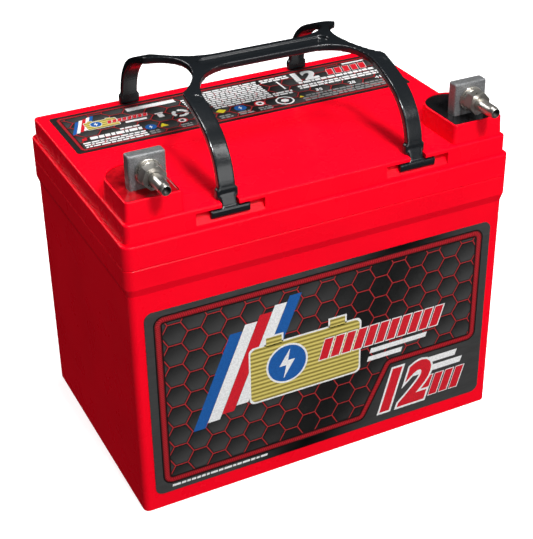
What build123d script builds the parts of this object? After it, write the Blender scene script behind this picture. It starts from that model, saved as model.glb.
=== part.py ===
from build123d import *
from math import asin, atan, cos, degrees, radians, sin
import os

# Deep cycle battery, U1 size: six glass-mat cells in one row, both terminals at the front.
# Millimetres. X runs along the length, -Y is the labelled front, +Z is up.
# The origin is the middle of the underside of the container.

# ---------------------------------------------------------------- driving dimensions
LENGTH = 195.0
WIDTH = 128.0

WALL_STEP = 1.3            # container wall, set back from the rim all round
WALL_CORNER = 3.0
STEP_Z = 119.5             # bottom of the chamfered step
RIM_Z = 123.5              # top of the step, bottom of the rim
SEAM_Z = 133.0             # container meets lid
SKIRT_Z = 144.5            # top of the lid's skirt
LID_Z = 154.0              # top of the lid
SEAM_BEVEL = 0.35
EDGE_ROUND = 0.9

CELLS = 6
CELL_PITCH = 31.5
CELL_LENGTH = 29.0
CELL_WIDTH = 119.4
CELL_CORNER = 2.0
FLOOR = 3.0

TOP_INSET_X = 2.0          # upper lid tier, set back from the skirt
TOP_INSET_Y = 1.8
TOP_CORNER = 2.6

BLOCK_X = 80.7             # terminal blocks
BLOCK_FRONT_Y = -60.6
BLOCK_HALF = 13.5
BLOCK_BACK_Y = -37.0       # centre of the rounded back
BLOCK_Z = 163.5
BLOCK_DRAFT = 3.0
BLOCK_WALL = 1.35
EPOXY_Z = 163.0
WELL_FLOOR_Z = 157.0
WELL_CORNER = 1.0
BLOCK_CORNER = 2.0
BLOCK_ROUND = 0.5

POST_SHIFT = 1.6           # both posts stand a little to +X of their blocks
POST_Y = -47.1
STEM_R = 5.5
STEM_FOOT_Z = 128.0
FLAG_WIDTH = 17.2
FLAG_THICK = 5.8
FLAG_FOOT_Z = 159.8
FLAG_TOP_Z = 178.8
FLAG_ROUND = 0.9
BOLT_Z = 170.6
FLAG_HOLE_R = 3.3

BOLT_R = 3.0               # over the threads
RELIEF_R = 2.7             # groove round the stud, just in front of the nut
RELIEF_WIDTH = 0.7
RELIEF_GAP = 0.1
BOLT_TIP_Y = -70.4
BOLT_TIP_CHAMFER = 0.8
HEX_FLATS = 10.0
HEAD_HEIGHT = 4.0
FLAT_WASHER_R = 6.0
FLAT_WASHER_THICK = 1.2
LOCK_WASHER_R = 5.3
LOCK_WASHER_THICK = 1.6
WASHER_BORE_R = 3.3
LOCK_SPLIT = 1.2
WASHER_ROUND = 0.2
NUT_HEIGHT = 5.0
NUT_BORE_R = 3.05
HEX_CHAMFER = 0.45
HEX_TURN = 12.0

SEAL_RING_R = 6.75
SEAL_SECTION_R = 1.15
SEAL_SEAT = 2.6            # depth of the seat round the post
SEAL_PLAY = 0.05
STEM_PLAY = 0.15

VALVE_BAY_HALF_X = 86.0    # recess in the lid that holds the vent valves
VALVE_BAY_Y0 = 15.0
VALVE_BAY_Y1 = 53.0
VALVE_BAY_Z = 144.0
VALVE_BAY_CORNER = 3.0
BAY_FLOOR = 2.5            # lid under the valve bay
ROOF = 3.0                 # lid over the cells, forward of the valve bay
ROOF_POCKET_Y = -13.0
ROOF_POCKET_WIDTH = 48.0
VALVE_COVER_THICK = 2.2
VALVE_COVER_SEAT = 1.5
VENT_Y = 34.0
VENT_NECK_R = 4.2
VENT_BORE_R = 1.8
VENT_NECK_Z = 149.2
CAP_WALL = 1.6
CAP_TOP = 1.2
CAP_GAP = 1.2              # the cap's skirt stops this far above the bay's floor
CAP_ROUND = 0.4
COVER_PLAY = 0.2           # all round the valve cover

HANDLE_LEG_X = 47.0        # clip-on handle
LEG_WIDTH = 8.0
HANDLE_TOP_Z = 193.0
HANDLE_THICK = 3.3
HANDLE_HALF_Y = 59.2
SHOULDER_R = 30.5
SHOULDER_Z = 156.0
BAR_WIDTH = 13.6
BAR_FILLET_R = 22.0
WAIST_X = 38.6             # outer edge of the junction at the middle
FLARE_Y = 23.0             # where the junction reaches the leg's full width
FLARE_ROUND = 3.0
GROOVE_LENGTH = 67.0
GROOVE_WIDTH = 7.6
GROOVE_DEPTH = 1.7
NECK_OVERLAP = 1.0         # the neck's foot reaches this far into the T
LEG_FOOT_Z = 154.05
EAR_WIDTH = 10.2
EAR_HEIGHT = 4.6
NECK_WIDTH = 7.0
FOOT_WIDTH = 18.6
FOOT_TOP_Z = 151.2
FOOT_BOTTOM_Z = 147.6
FOOT_FRONT_Y = 62.5
FOOT_BACK_Y = 58.6
FOOT_EDGE = 1.0
NECK_TOP_Z = 156.5

LIP_Z = 152.0              # underside of the lip over each handle pocket
POCKET_WIDTH = 32.6
POCKET_BOTTOM_Z = 146.2
POCKET_DEPTH = 4.6
NOTCH_WIDTH = 8.2
NOTCH_DEPTH = 6.4

LABEL_THICK = 0.3
FRONT_LABEL_HALF_X = 90.2
FRONT_LABEL_Z0 = 8.6
FRONT_LABEL_Z1 = 109.6
FRONT_LABEL_CORNER = 4.0
TOP_LABEL_HALF_X = 89.6
TOP_LABEL_Y0 = 12.0
TOP_LABEL_Y1 = 55.4
TOP_LABEL_CORNER = 1.5

POSITIVE_PLATES = 4        # plates in each cell
NEGATIVE_PLATES = 5
POSITIVE_THICK = 2.9
NEGATIVE_THICK = 2.2
PLATE_PITCH = 3.3
MAT_THICK = 0.7
PLATE_HALF_Y = 56.5
PLATE_Z0 = 6.5
PLATE_Z1 = 108.0
MAT_HALF_Y = 58.5
MAT_Z1 = 110.5
MAT_Z0 = 4.8
LUG_WIDTH = 14.0
STRAP_Y = 47.1
STRAP_WIDTH = 22.0
STRAP_Z0 = 113.0
STRAP_Z1 = 118.0
STRAP_HALF_X = 14.0
STRAP_CORNER = 1.5
TOMBSTONE_THICK = 3.0
TOMBSTONE_WIDTH = 14.0
TOMBSTONE_Z = 129.0
WELD_Z = 123.5
WELD_R = 4.0
WELD_PLAY = 0.1

os.makedirs("parts", exist_ok=True)


def finish(part, name):
    """Labels a finished piece and writes it as its own STEP file."""
    part.label = name
    export_step(part, f"parts/{name}.step")


def front_facing(y):
    """A plane across the depth whose normal points to the front, with X along the length."""
    return Plane(origin=(0, y, 0), x_dir=(1, 0, 0), z_dir=(0, -1, 0))


cell_x = [(i - (CELLS - 1) / 2) * CELL_PITCH for i in range(CELLS)]
top_length = LENGTH - 2 * TOP_INSET_X
top_width = WIDTH - 2 * TOP_INSET_Y
top_face_y = top_width / 2
wall_length = LENGTH - 2 * WALL_STEP
wall_width = WIDTH - 2 * WALL_STEP
wall_face_y = wall_width / 2
rim_corner = WALL_CORNER + WALL_STEP
step_taper = degrees(atan(WALL_STEP / (RIM_Z - STEP_Z)))
bay_y = (VALVE_BAY_Y0 + VALVE_BAY_Y1) / 2
bay_width = VALVE_BAY_Y1 - VALVE_BAY_Y0
seat_length = 2 * (VALVE_BAY_HALF_X + VALVE_COVER_SEAT)
seat_width = bay_width + 2 * VALVE_COVER_SEAT
seat_corner = VALVE_BAY_CORNER + VALVE_COVER_SEAT
well_half = BLOCK_HALF - BLOCK_WALL
well_front_y = BLOCK_FRONT_Y + BLOCK_WALL
post_x = {"positive": -BLOCK_X + POST_SHIFT, "negative": BLOCK_X + POST_SHIFT}
block_x = {"positive": -BLOCK_X, "negative": BLOCK_X}
flag_front_y = POST_Y - FLAG_THICK / 2
flag_back_y = POST_Y + FLAG_THICK / 2
MAT_CENTRE = (POSITIVE_THICK / 2 + PLATE_PITCH - NEGATIVE_THICK / 2) / 2


# ---------------------------------------------------------------- container
with BuildPart() as container:
    with BuildSketch(Plane.XY):
        RectangleRounded(wall_length, wall_width, WALL_CORNER)
    extrude(amount=STEP_Z)
    with BuildSketch(Plane.XY.offset(STEP_Z)):
        RectangleRounded(wall_length, wall_width, WALL_CORNER)
    extrude(amount=RIM_Z - STEP_Z, taper=-step_taper)
    with BuildSketch(Plane.XY.offset(RIM_Z)):
        RectangleRounded(LENGTH, WIDTH, rim_corner)
    extrude(amount=SEAM_Z - RIM_Z)
    fillet(container.faces().sort_by(Axis.Z)[0].edges(), radius=EDGE_ROUND)
    chamfer(container.faces().sort_by(Axis.Z)[-1].edges(), length=SEAM_BEVEL)
    with BuildSketch(Plane.XY.offset(FLOOR)):
        with Locations(*[(x, 0) for x in cell_x]):
            RectangleRounded(CELL_LENGTH, CELL_WIDTH, CELL_CORNER)
    extrude(amount=SEAM_Z - FLOOR, mode=Mode.SUBTRACT)
    for i in range(CELLS - 1):
        side = -1 if i % 2 else 1
        with BuildSketch(Plane.YZ.offset(cell_x[i] + CELL_PITCH / 2)):
            with Locations((side * STRAP_Y, WELD_Z)):
                Circle(WELD_R)
        extrude(amount=CELL_PITCH / 2 - CELL_LENGTH / 2, both=True, mode=Mode.SUBTRACT)
finish(container.part, "container")


# ---------------------------------------------------------------- lid
def block_outline(half, front_y, corner):
    """D shape: straight front and sides, round back."""
    side_length = BLOCK_BACK_Y - front_y
    with Locations((0, front_y + side_length / 2)):
        Rectangle(2 * half, side_length)
    with Locations((0, BLOCK_BACK_Y)):
        Circle(half)
    front_corners = vertices().sort_by(Axis.Y)[:2]
    fillet(front_corners, radius=corner)


POCKET_SLOPE = (LIP_Z - POCKET_BOTTOM_Z) / POCKET_DEPTH

# side view of one front handle pocket: deep under the lip, running out to the face below
with BuildSketch() as pocket_profile:
    with BuildLine():
        Polyline(
            (-top_face_y - 1, POCKET_BOTTOM_Z - POCKET_SLOPE),
            (-top_face_y + POCKET_DEPTH, LIP_Z),
            (-top_face_y - 1, LIP_Z),
            close=True,
        )
    make_face()

with BuildPart() as lid:
    with BuildSketch(Plane.XY.offset(SEAM_Z)):
        RectangleRounded(LENGTH, WIDTH, rim_corner)
    extrude(amount=SKIRT_Z - SEAM_Z)
    chamfer(lid.faces().sort_by(Axis.Z)[0].edges(), length=SEAM_BEVEL)
    fillet(lid.faces().sort_by(Axis.Z)[-1].edges(), radius=EDGE_ROUND)
    with BuildSketch(Plane.XY.offset(SKIRT_Z - 1)):
        RectangleRounded(top_length, top_width, TOP_CORNER)
    extrude(amount=LID_Z - SKIRT_Z + 1)
    fillet(lid.faces().sort_by(Axis.Z)[-1].edges(), radius=EDGE_ROUND)
    for x in block_x.values():
        with BuildSketch(Plane((x, 0, LID_Z - 0.5))):
            block_outline(BLOCK_HALF, BLOCK_FRONT_Y, BLOCK_CORNER)
        extrude(amount=BLOCK_Z - LID_Z + 0.5, taper=BLOCK_DRAFT)
    fillet(lid.faces().sort_by(Axis.Z)[-2:].edges(), radius=BLOCK_ROUND)
    # underside: open cells, and a thinner roof forward of the valve bay
    with BuildSketch(Plane.XY.offset(SEAM_Z)):
        with Locations(*[(x, 0) for x in cell_x]):
            RectangleRounded(CELL_LENGTH, CELL_WIDTH, CELL_CORNER)
    extrude(amount=VALVE_BAY_Z - BAY_FLOOR - SEAM_Z, mode=Mode.SUBTRACT)
    with BuildSketch(Plane.XY.offset(SEAM_Z)):
        with Locations(*[(x, ROOF_POCKET_Y) for x in cell_x]):
            RectangleRounded(CELL_LENGTH, ROOF_POCKET_WIDTH, CELL_CORNER)
    extrude(amount=LID_Z - ROOF - SEAM_Z, mode=Mode.SUBTRACT)
    # valve bay with its seat and vent necks
    with BuildSketch(Plane.XY.offset(VALVE_BAY_Z)):
        with Locations((0, bay_y)):
            RectangleRounded(2 * VALVE_BAY_HALF_X, bay_width, VALVE_BAY_CORNER)
    extrude(amount=LID_Z - VALVE_BAY_Z, mode=Mode.SUBTRACT)
    with BuildSketch(Plane.XY.offset(LID_Z - VALVE_COVER_THICK)):
        with Locations((0, bay_y)):
            RectangleRounded(seat_length, seat_width, seat_corner)
    extrude(amount=VALVE_COVER_THICK, mode=Mode.SUBTRACT)
    with BuildSketch(Plane.XY.offset(VALVE_BAY_Z - 1)):
        with Locations(*[(x, VENT_Y) for x in cell_x]):
            Circle(VENT_NECK_R)
    extrude(amount=VENT_NECK_Z - VALVE_BAY_Z + 1)
    with BuildSketch(Plane.XY.offset(SKIRT_Z - 5)):
        with Locations(*[(x, VENT_Y) for x in cell_x]):
            Circle(VENT_BORE_R)
    extrude(amount=VENT_NECK_Z - SKIRT_Z + 6, mode=Mode.SUBTRACT)
    # terminal wells, seal seats and post holes
    for polarity, x in block_x.items():
        with BuildSketch(Plane((x, 0, WELL_FLOOR_Z))):
            block_outline(well_half, well_front_y, WELL_CORNER)
        extrude(amount=BLOCK_Z - WELL_FLOOR_Z + 1, mode=Mode.SUBTRACT)
        with BuildSketch(Plane.XY.offset(WELL_FLOOR_Z - SEAL_SEAT)):
            with Locations((post_x[polarity], POST_Y)):
                Circle(SEAL_RING_R + SEAL_SECTION_R + SEAL_PLAY)
        extrude(amount=SEAL_SEAT, mode=Mode.SUBTRACT)
        with BuildSketch(Plane.XY.offset(SEAM_Z)):
            with Locations((post_x[polarity], POST_Y)):
                Circle(STEM_R + STEM_PLAY)
        extrude(amount=WELL_FLOOR_Z - SEAM_Z, mode=Mode.SUBTRACT)
    # four handle pockets with a notch through the lip above each
    for x in (-HANDLE_LEG_X, HANDLE_LEG_X):
        with BuildSketch(Plane.YZ.offset(x - POCKET_WIDTH / 2)):
            add(pocket_profile.sketch)
            mirror(about=Plane.YZ)
        extrude(amount=POCKET_WIDTH, mode=Mode.SUBTRACT)
        with BuildSketch(Plane.XY.offset(LIP_Z - 1)):
            for side in (-1, 1):
                with Locations((x, side * (top_face_y - NOTCH_DEPTH / 2 + 0.5))):
                    Rectangle(NOTCH_WIDTH, NOTCH_DEPTH + 1)
        extrude(amount=LID_Z - LIP_Z + 2, mode=Mode.SUBTRACT)
finish(lid.part, "lid")


# ---------------------------------------------------------------- vent valves and their cover
with BuildPart() as valve_cover:
    with BuildSketch(Plane.XY.offset(LID_Z - VALVE_COVER_THICK)):
        with Locations((0, bay_y)):
            RectangleRounded(
                seat_length - 2 * COVER_PLAY, seat_width - 2 * COVER_PLAY, seat_corner - COVER_PLAY
            )
    extrude(amount=VALVE_COVER_THICK)
finish(valve_cover.part, "valve_cover")

for number, x in enumerate(cell_x, start=1):
    with BuildPart() as vent_valve:
        with BuildSketch(Plane((x, VENT_Y, VALVE_BAY_Z + CAP_GAP))):
            Circle(VENT_NECK_R + CAP_WALL)
        extrude(amount=VENT_NECK_Z + CAP_TOP - VALVE_BAY_Z - CAP_GAP)
        with BuildSketch(Plane((x, VENT_Y, VALVE_BAY_Z + CAP_GAP))):
            Circle(VENT_NECK_R)
        extrude(amount=VENT_NECK_Z - VALVE_BAY_Z - CAP_GAP, mode=Mode.SUBTRACT)
        fillet(vent_valve.faces().sort_by(Axis.Z)[-1].edges(), radius=CAP_ROUND)
    finish(vent_valve.part, f"vent_valve_{number}")


# ---------------------------------------------------------------- plate groups
def plate_centres(count):
    """Centres along X of alternate plates in one cell, measured from the cell's middle."""
    return [(j - (count - 1) / 2) * 2 * PLATE_PITCH for j in range(count)]


def plate_group(x, offsets, thickness, side, tombstone_x, stub_x):
    """Plates standing across the cell, joined by a cast strap at the front (-1) or rear (+1)."""
    with BuildPart() as group:
        with BuildSketch(Plane.XY.offset(PLATE_Z0)):
            with Locations(*[(x + offset, 0) for offset in offsets]):
                Rectangle(thickness, 2 * PLATE_HALF_Y)
        extrude(amount=PLATE_Z1 - PLATE_Z0)
        with BuildSketch(Plane.XY.offset(PLATE_Z1)):
            with Locations(*[(x + offset, side * STRAP_Y) for offset in offsets]):
                Rectangle(thickness, LUG_WIDTH)
        extrude(amount=STRAP_Z0 - PLATE_Z1)
        with BuildSketch(Plane.XY.offset(STRAP_Z0)):
            with Locations((x, side * STRAP_Y)):
                RectangleRounded(2 * STRAP_HALF_X, STRAP_WIDTH, STRAP_CORNER)
        extrude(amount=STRAP_Z1 - STRAP_Z0)
        if tombstone_x:
            centre_x = x + tombstone_x * (STRAP_HALF_X - TOMBSTONE_THICK / 2)
            with BuildSketch(Plane.XY.offset(STRAP_Z1 - 1)):
                with Locations((centre_x, side * STRAP_Y)):
                    Rectangle(TOMBSTONE_THICK, TOMBSTONE_WIDTH)
            extrude(amount=TOMBSTONE_Z - STRAP_Z1 + 1)
        else:
            with BuildSketch(Plane.XY.offset(STRAP_Z1 - 1)):
                with Locations((stub_x, POST_Y)):
                    Circle(STEM_R)
            extrude(amount=STEM_FOOT_Z - STRAP_Z1 + 1)
    return group.part


for i, x in enumerate(cell_x):
    number = i + 1
    positive_side = 1 if i % 2 else -1
    first = i == 0
    last = i == CELLS - 1
    positive_group = plate_group(
        x,
        plate_centres(POSITIVE_PLATES),
        POSITIVE_THICK,
        positive_side,
        0 if first else -1,
        post_x["positive"],
    )
    finish(positive_group, f"positive_group_{number}")
    negative_group = plate_group(
        x,
        plate_centres(NEGATIVE_PLATES),
        NEGATIVE_THICK,
        -positive_side,
        0 if last else 1,
        post_x["negative"],
    )
    finish(negative_group, f"negative_group_{number}")

    # each positive plate sits in its own mat, folded up from underneath
    with BuildPart() as separators:
        with BuildSketch(Plane.XZ.offset(-MAT_HALF_Y)):
            for offset in plate_centres(POSITIVE_PLATES):
                with Locations((x + offset, (MAT_Z0 + MAT_Z1) / 2)):
                    Rectangle(2 * (MAT_CENTRE + MAT_THICK / 2), MAT_Z1 - MAT_Z0)
                with Locations((x + offset, (MAT_Z0 + MAT_Z1) / 2 + MAT_THICK)):
                    Rectangle(2 * (MAT_CENTRE - MAT_THICK / 2), MAT_Z1 - MAT_Z0, mode=Mode.SUBTRACT)
        extrude(amount=2 * MAT_HALF_Y)
    finish(separators.part, f"separators_{number}")

# lead welds that join neighbouring cells through the partitions
for i in range(CELLS - 1):
    side = -1 if i % 2 else 1
    with BuildPart() as cell_weld:
        with BuildSketch(Plane.YZ.offset(cell_x[i] + STRAP_HALF_X)):
            with Locations((side * STRAP_Y, WELD_Z)):
                Circle(WELD_R - WELD_PLAY)
        extrude(amount=CELL_PITCH - 2 * STRAP_HALF_X)
    finish(cell_weld.part, f"cell_weld_{i + 1}")


# ---------------------------------------------------------------- terminals
def hexagon_prism(start_y, height, bore):
    """Chamfered hexagon along Y, growing to the front from start_y."""
    corner_r = HEX_FLATS / 2 / cos(radians(30))
    with BuildPart() as prism:
        with BuildSketch(front_facing(start_y)):
            with Locations((0, BOLT_Z)):
                Circle(corner_r)
        extrude(amount=height)
        chamfer(prism.edges().filter_by(GeomType.CIRCLE), length=HEX_CHAMFER)
        with BuildSketch(front_facing(start_y)):
            with Locations((0, BOLT_Z)):
                RegularPolygon(HEX_FLATS / 2, 6, major_radius=False, rotation=HEX_TURN)
        extrude(amount=height, mode=Mode.INTERSECT)
        if bore:
            with BuildSketch(front_facing(start_y)):
                with Locations((0, BOLT_Z)):
                    Circle(bore)
            extrude(amount=height, mode=Mode.SUBTRACT)
    return prism.part


def ring(start_y, thickness, outer, inner, split):
    """Flat ring along Y, growing to the front from start_y, cut through at its side if split."""
    with BuildPart() as washer:
        with BuildSketch(front_facing(start_y)):
            with Locations((0, BOLT_Z)):
                Circle(outer)
                Circle(inner, mode=Mode.SUBTRACT)
            if split:
                with Locations(((outer + inner) / 2, BOLT_Z)):
                    Rectangle(outer, split, mode=Mode.SUBTRACT)
        extrude(amount=thickness)
        rims = washer.edges().filter_by(GeomType.CIRCLE).filter_by(lambda e: abs(e.radius - outer) < 0.01)
        fillet(rims, radius=WASHER_ROUND)
    return washer.part


flat_washer_y = flag_front_y
lock_washer_y = flat_washer_y - FLAT_WASHER_THICK
nut_y = lock_washer_y - LOCK_WASHER_THICK
relief_y = nut_y - NUT_HEIGHT - RELIEF_GAP

for polarity in ("positive", "negative"):
    x = post_x[polarity]
    with BuildPart() as terminal:
        with BuildSketch(Plane.XY.offset(STEM_FOOT_Z)):
            with Locations((x, POST_Y)):
                Circle(STEM_R)
        extrude(amount=FLAG_FOOT_Z - STEM_FOOT_Z)
        with BuildSketch(Plane.XY.offset(FLAG_FOOT_Z)):
            with Locations((x, POST_Y)):
                Rectangle(FLAG_WIDTH, FLAG_THICK)
        extrude(amount=FLAG_TOP_Z - FLAG_FOOT_Z)
        flag_edges = terminal.edges().filter_by_position(Axis.Z, FLAG_FOOT_Z + 1, FLAG_TOP_Z)
        fillet(flag_edges, radius=FLAG_ROUND)
        with BuildSketch(front_facing(flag_back_y)):
            with Locations((x, BOLT_Z)):
                Circle(FLAG_HOLE_R)
        extrude(amount=FLAG_THICK, mode=Mode.SUBTRACT)
    finish(terminal.part, f"{polarity}_terminal")

    with BuildPart() as epoxy:
        with BuildSketch(Plane((block_x[polarity], 0, WELL_FLOOR_Z))):
            block_outline(well_half, well_front_y, WELL_CORNER)
        extrude(amount=EPOXY_Z - WELL_FLOOR_Z)
        add(terminal.part, mode=Mode.SUBTRACT)
    finish(epoxy.part, f"{polarity}_epoxy")

    with BuildPart() as post_seal:
        with BuildSketch(Plane.XZ.offset(-POST_Y)):
            with Locations((x + SEAL_RING_R, WELL_FLOOR_Z - SEAL_SEAT / 2)):
                Circle(SEAL_SECTION_R)
        revolve(axis=Axis((x, POST_Y, 0), (0, 0, 1)))
    finish(post_seal.part, f"{polarity}_post_seal")

    with BuildPart() as bolt:
        with Locations((x, 0, 0)):
            add(hexagon_prism(flag_back_y + HEAD_HEIGHT, HEAD_HEIGHT, 0))
        with BuildSketch(front_facing(flag_back_y)):
            with Locations((x, BOLT_Z)):
                Circle(BOLT_R)
        extrude(amount=flag_back_y - BOLT_TIP_Y)
        chamfer(bolt.faces().sort_by(Axis.Y)[0].edges(), length=BOLT_TIP_CHAMFER)
        with BuildSketch(front_facing(relief_y)):
            with Locations((x, BOLT_Z)):
                Circle(BOLT_R)
                Circle(RELIEF_R, mode=Mode.SUBTRACT)
        extrude(amount=RELIEF_WIDTH, mode=Mode.SUBTRACT)
    finish(bolt.part, f"{polarity}_bolt")

    with BuildPart() as flat_washer:
        with Locations((x, 0, 0)):
            add(ring(flat_washer_y, FLAT_WASHER_THICK, FLAT_WASHER_R, WASHER_BORE_R, 0))
    finish(flat_washer.part, f"{polarity}_flat_washer")

    with BuildPart() as lock_washer:
        with Locations((x, 0, 0)):
            add(ring(lock_washer_y, LOCK_WASHER_THICK, LOCK_WASHER_R, WASHER_BORE_R, LOCK_SPLIT))
    finish(lock_washer.part, f"{polarity}_lock_washer")

    with BuildPart() as nut:
        with Locations((x, 0, 0)):
            add(hexagon_prism(nut_y, NUT_HEIGHT, NUT_BORE_R))
    finish(nut.part, f"{polarity}_nut")


# ---------------------------------------------------------------- handle
# The side view is two tangent arcs: a wide crown, and a shoulder that ends upright at the leg.
shoulder_y = HANDLE_HALF_Y - SHOULDER_R
drop = HANDLE_TOP_Z - SHOULDER_Z
crown_r = (shoulder_y**2 + drop**2 - SHOULDER_R**2) / (2 * (drop - SHOULDER_R))
crown_z = HANDLE_TOP_Z - crown_r
tangent_angle = atan(shoulder_y / (SHOULDER_Z - crown_z))


def arch_half(depth):
    """Half of the arch's side view, drawn depth mm inside the outer surface, crown first."""
    crown = crown_r - depth
    shoulder = SHOULDER_R - depth
    middle = tangent_angle / 2
    lower = (radians(90) + tangent_angle) / 2
    start = (0, crown_z + crown)
    on_crown = (crown * sin(middle), crown_z + crown * cos(middle))
    joint = (crown * sin(tangent_angle), crown_z + crown * cos(tangent_angle))
    on_shoulder = (shoulder_y + shoulder * sin(lower), SHOULDER_Z + shoulder * cos(lower))
    end = (shoulder_y + shoulder, SHOULDER_Z)
    ThreePointArc(start, on_crown, joint)
    ThreePointArc(joint, on_shoulder, end)
    Line(end, (end[0], LEG_FOOT_Z))
    return (end[0], LEG_FOOT_Z), start


leg_inner_x = HANDLE_LEG_X - LEG_WIDTH / 2
leg_outer_x = HANDLE_LEG_X + LEG_WIDTH / 2
bar_y = BAR_WIDTH / 2
corner_x = leg_inner_x - BAR_FILLET_R
corner_y = bar_y + BAR_FILLET_R
flare_r = (FLARE_Y**2 + (leg_outer_x - WAIST_X) ** 2) / (2 * (leg_outer_x - WAIST_X))
flare_angle = asin(FLARE_Y / flare_r)
leg_inner_y = HANDLE_HALF_Y - HANDLE_THICK

# H-shaped plan of the handle, drawn as one quarter: bar, inner corner, leg, curved waist
with BuildSketch() as handle_plan:
    with BuildLine():
        Polyline((WAIST_X, 0), (0, 0), (0, bar_y), (corner_x, bar_y))
        ThreePointArc(
            (corner_x, bar_y),
            (corner_x + BAR_FILLET_R * sin(radians(45)), corner_y - BAR_FILLET_R * cos(radians(45))),
            (leg_inner_x, corner_y),
        )
        Polyline(
            (leg_inner_x, corner_y),
            (leg_inner_x, HANDLE_HALF_Y + 5),
            (leg_outer_x, HANDLE_HALF_Y + 5),
            (leg_outer_x, FLARE_Y),
        )
        ThreePointArc(
            (leg_outer_x, FLARE_Y),
            (WAIST_X + flare_r * (1 - cos(flare_angle / 2)), flare_r * sin(flare_angle / 2)),
            (WAIST_X, 0),
        )
    make_face()
    mirror(about=Plane.YZ)
    mirror(about=Plane.XZ)
    flare_corners = handle_plan.vertices().filter_by(lambda v: abs(abs(v.Y) - FLARE_Y) < 0.01)
    fillet(flare_corners, radius=FLARE_ROUND)

with BuildPart() as handle:
    with BuildSketch(Plane.YZ):
        with BuildLine():
            outer_foot, outer_top = arch_half(0)
            inner_foot, inner_top = arch_half(HANDLE_THICK)
            Line(outer_foot, inner_foot)
            Line(outer_top, inner_top)
        make_face()
        mirror(about=Plane.YZ)
    extrude(amount=LENGTH / 3, both=True)
    with BuildSketch(Plane.XY.offset(LEG_FOOT_Z - 1)):
        add(handle_plan.sketch)
    extrude(amount=HANDLE_TOP_Z - LEG_FOOT_Z + 5, mode=Mode.INTERSECT)
    # channel on top
    with BuildSketch(Plane.XY.offset(HANDLE_TOP_Z - GROOVE_DEPTH)):
        SlotOverall(GROOVE_LENGTH, GROOVE_WIDTH)
    extrude(amount=GROOVE_DEPTH + 1, mode=Mode.SUBTRACT)
    # ears beside each neck
    with BuildSketch(Plane.XY.offset(LEG_FOOT_Z)):
        for x in (-HANDLE_LEG_X, HANDLE_LEG_X):
            for side in (-1, 1):
                with Locations((x, side * (HANDLE_HALF_Y - HANDLE_THICK / 2))):
                    Rectangle(EAR_WIDTH, HANDLE_THICK)
    extrude(amount=EAR_HEIGHT)
    for x in (-HANDLE_LEG_X, HANDLE_LEG_X):
        # necks that lean outwards through the lip
        with BuildSketch(Plane.YZ.offset(x - NECK_WIDTH / 2)):
            with BuildLine():
                Polyline(
                    (HANDLE_HALF_Y, NECK_TOP_Z),
                    (FOOT_FRONT_Y - NECK_OVERLAP / 2, FOOT_TOP_Z - NECK_OVERLAP),
                    (FOOT_BACK_Y + NECK_OVERLAP, FOOT_TOP_Z - NECK_OVERLAP),
                    (FOOT_BACK_Y, FOOT_TOP_Z),
                    (leg_inner_y, NECK_TOP_Z),
                    close=True,
                )
            make_face()
            mirror(about=Plane.YZ)
        extrude(amount=NECK_WIDTH)
        # T-shaped feet hooked under the lip
        with BuildSketch(Plane.YZ.offset(x - FOOT_WIDTH / 2)):
            with BuildLine():
                Polyline(
                    (FOOT_FRONT_Y, FOOT_TOP_Z),
                    (FOOT_FRONT_Y, FOOT_BOTTOM_Z),
                    (FOOT_FRONT_Y - FOOT_EDGE, FOOT_BOTTOM_Z),
                    (FOOT_BACK_Y, FOOT_TOP_Z),
                    close=True,
                )
            make_face()
            mirror(about=Plane.YZ)
        extrude(amount=FOOT_WIDTH)
finish(handle.part, "handle")


# ---------------------------------------------------------------- labels
with BuildPart() as front_label:
    with BuildSketch(front_facing(-wall_face_y)):
        with Locations((0, (FRONT_LABEL_Z0 + FRONT_LABEL_Z1) / 2)):
            RectangleRounded(
                2 * FRONT_LABEL_HALF_X, FRONT_LABEL_Z1 - FRONT_LABEL_Z0, FRONT_LABEL_CORNER
            )
    extrude(amount=LABEL_THICK)
finish(front_label.part, "front_label")

with BuildPart() as top_label:
    with BuildSketch(Plane.XY.offset(LID_Z)):
        with Locations((0, (TOP_LABEL_Y0 + TOP_LABEL_Y1) / 2)):
            RectangleRounded(
                2 * TOP_LABEL_HALF_X, TOP_LABEL_Y1 - TOP_LABEL_Y0, TOP_LABEL_CORNER
            )
    extrude(amount=LABEL_THICK)
finish(top_label.part, "top_label")
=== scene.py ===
from math import cos, pi, radians, sin, sqrt, tan

import bpy
from mathutils import Matrix, Vector, noise


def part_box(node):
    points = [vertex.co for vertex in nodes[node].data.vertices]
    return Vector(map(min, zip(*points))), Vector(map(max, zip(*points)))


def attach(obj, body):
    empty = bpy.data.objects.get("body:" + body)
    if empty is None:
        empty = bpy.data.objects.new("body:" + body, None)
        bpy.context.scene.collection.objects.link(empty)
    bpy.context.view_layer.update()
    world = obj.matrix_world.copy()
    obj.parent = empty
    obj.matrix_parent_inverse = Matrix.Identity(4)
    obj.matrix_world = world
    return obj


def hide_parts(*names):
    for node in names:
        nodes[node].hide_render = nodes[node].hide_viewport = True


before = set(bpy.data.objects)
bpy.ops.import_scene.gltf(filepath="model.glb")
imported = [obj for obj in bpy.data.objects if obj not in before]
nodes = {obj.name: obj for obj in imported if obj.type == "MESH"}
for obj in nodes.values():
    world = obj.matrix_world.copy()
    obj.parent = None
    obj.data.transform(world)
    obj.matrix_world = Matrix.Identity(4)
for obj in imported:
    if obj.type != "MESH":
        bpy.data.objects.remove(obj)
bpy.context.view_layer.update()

# Metres throughout. MM turns the small sizes of printed and threaded detail into metres.
MM = 0.001
POLARITIES = ("positive", "negative")
CELLS = 6


def mm(*values):
    """Sizes given in millimetres, as metres."""
    return [v * MM for v in values]


# ---------------------------------------------------------------- node trees
# Sockets of a Mix node that mixes colours.
MIX_FACTOR, MIX_FIRST, MIX_SECOND, MIX_RESULT = 0, 6, 7, 2


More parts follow.
